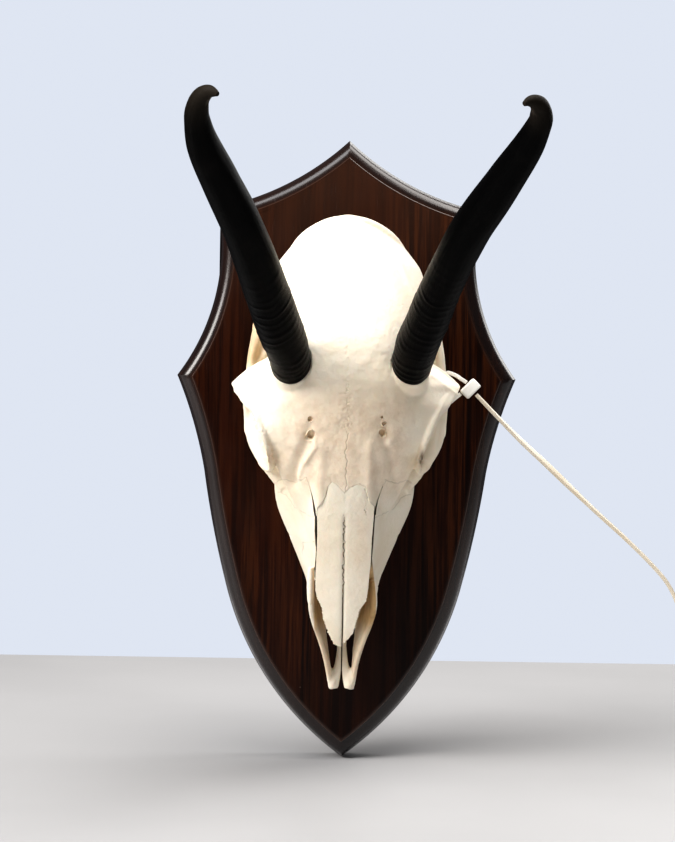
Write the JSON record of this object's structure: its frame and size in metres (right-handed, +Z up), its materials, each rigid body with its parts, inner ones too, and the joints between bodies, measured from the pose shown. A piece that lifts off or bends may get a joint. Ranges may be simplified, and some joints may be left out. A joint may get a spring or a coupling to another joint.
{
  "type": "mounted springbok skull",
  "caption": "Springbok skull with black horns, fixed on a dark wooden shield that hangs on a wall, with a cable tie round one orbit.",
  "frame": {"origin": "centre of the shield's flat back face, which lies against the wall", "axes": "+Z up the shield, -Y out from the wall towards the viewer, +X to the viewer's right"},
  "size_m": [0.2166, 0.2327, 0.27],
  "materials": {
    "bone": "matt, dry bone",
    "horn": "satin, near black",
    "shield_wood": "varnished, dark red-brown stain",
    "steel": "plain",
    "nylon": "natural nylon"
  },
  "bodies": {
    "root": {"cranium": "bone", "face": "bone", "nasal_left": "bone", "nasal_right": "bone", "premaxilla_left": "bone", "premaxilla_right": "bone", "zygomatic_left": "bone", "zygomatic_right": "bone", "horn_left": "horn", "horn_right": "horn", "shield": "shield_wood", "mount_block": "shield_wood", "screw_1": "steel", "screw_2": "steel", "hanger": "steel", "tie_loop": "nylon", "tie_head": "nylon", "tie_tail": "nylon"}
  },
  "joints": []
}
